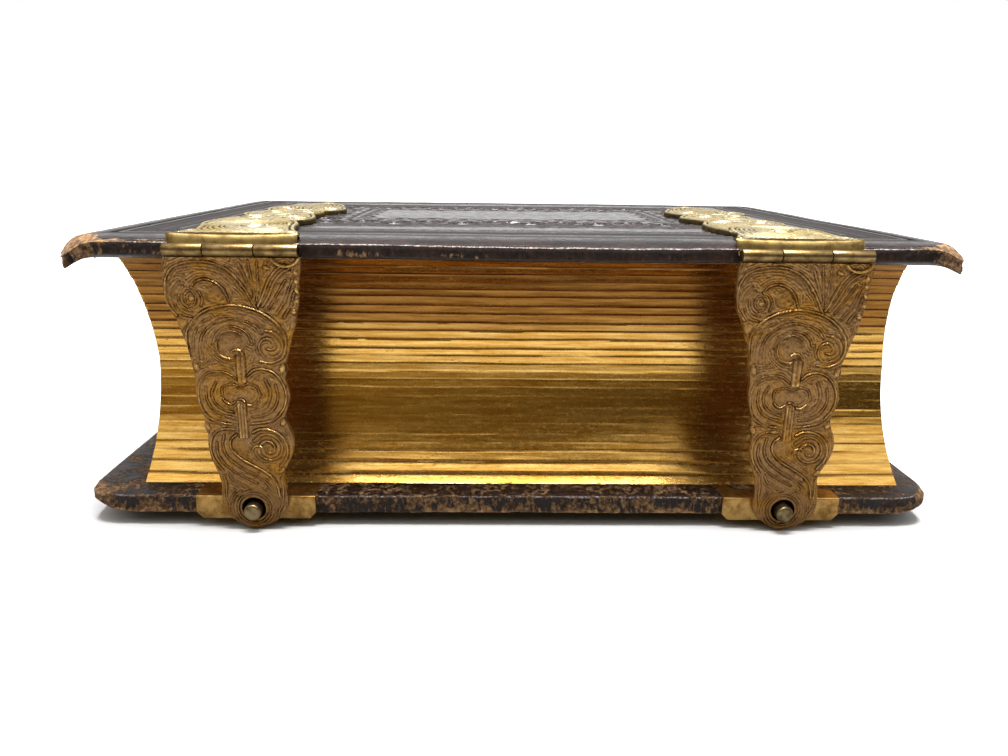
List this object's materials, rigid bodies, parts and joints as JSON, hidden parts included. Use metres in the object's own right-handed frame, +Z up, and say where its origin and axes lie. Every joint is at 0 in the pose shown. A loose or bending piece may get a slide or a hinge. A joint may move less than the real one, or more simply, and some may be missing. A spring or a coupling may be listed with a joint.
{
  "type": "photo album",
  "caption": "Leather-bound carte album lying on its back cover, hollow gilt fore edge, embossed brass clasps that snap over studs.",
  "frame": {"origin": "on the surface it stands on, under the middle of the whole album's box", "axes": "+X along the fore edge to the right as seen from the clasps, +Y from the fore edge to the spine, +Z up out of the front cover"},
  "size_m": [0.155, 0.1268, 0.0532],
  "materials": {
    "board": "raw binder's board, hidden",
    "leather": "polished dark brown leather, blind tooled, worn at the edges",
    "lining_paper": "aged lining paper",
    "brass": "embossed, brown patina, polished ridges",
    "mount_brass": "embossed, worn bright on top",
    "stud_brass": "worn satin brass",
    "gilt_leaves": "card leaves with gilt edges, rubbed and speckled",
    "spine_cloth": "glued lining cloth",
    "band_thread": "worked thread"
  },
  "bodies": {
    "back_cover": {"back_board": "board", "back_leather": "leather", "back_pastedown": "lining_paper", "left_catch": "brass", "right_catch": "brass", "left_stud": "stud_brass", "right_stud": "stud_brass", "catch_rivets": "stud_brass"},
    "block": {"leaf_block": "gilt_leaves", "spine_lining": "spine_cloth", "spine_leather": "leather", "tail_band": "band_thread", "head_band": "band_thread"},
    "front_cover": {"front_board": "board", "front_leather": "leather", "front_pastedown": "lining_paper", "left_mount": "mount_brass", "right_mount": "mount_brass", "mount_rivets": "stud_brass", "left_hinge_pin": "stud_brass", "right_hinge_pin": "stud_brass"},
    "left_clasp": {"left_clasp_arm": "brass"},
    "right_clasp": {"right_clasp_arm": "brass"}
  },
  "joints": [
    {"name": "back_joint", "type": "hinge", "parent": "back_cover", "child": "block", "pos_m": [0, 0.0501, 0.004], "axis": [1, 0, 0], "range_deg": [-90, 0]},
    {"name": "front_joint", "type": "hinge", "parent": "block", "child": "front_cover", "pos_m": [0, 0.0501, 0.04965], "axis": [-1, 0, 0], "range_deg": [0, 180]},
    {"name": "left_clasp_hinge", "type": "hinge", "parent": "front_cover", "child": "left_clasp", "pos_m": [-0.0469, -0.0615, 0.0497], "axis": [-1, 0, 0], "range_deg": [0, 180]},
    {"name": "right_clasp_hinge", "type": "hinge", "parent": "front_cover", "child": "right_clasp", "pos_m": [0.0478, -0.0615, 0.0497], "axis": [-1, 0, 0], "range_deg": [0, 180]}
  ]
}
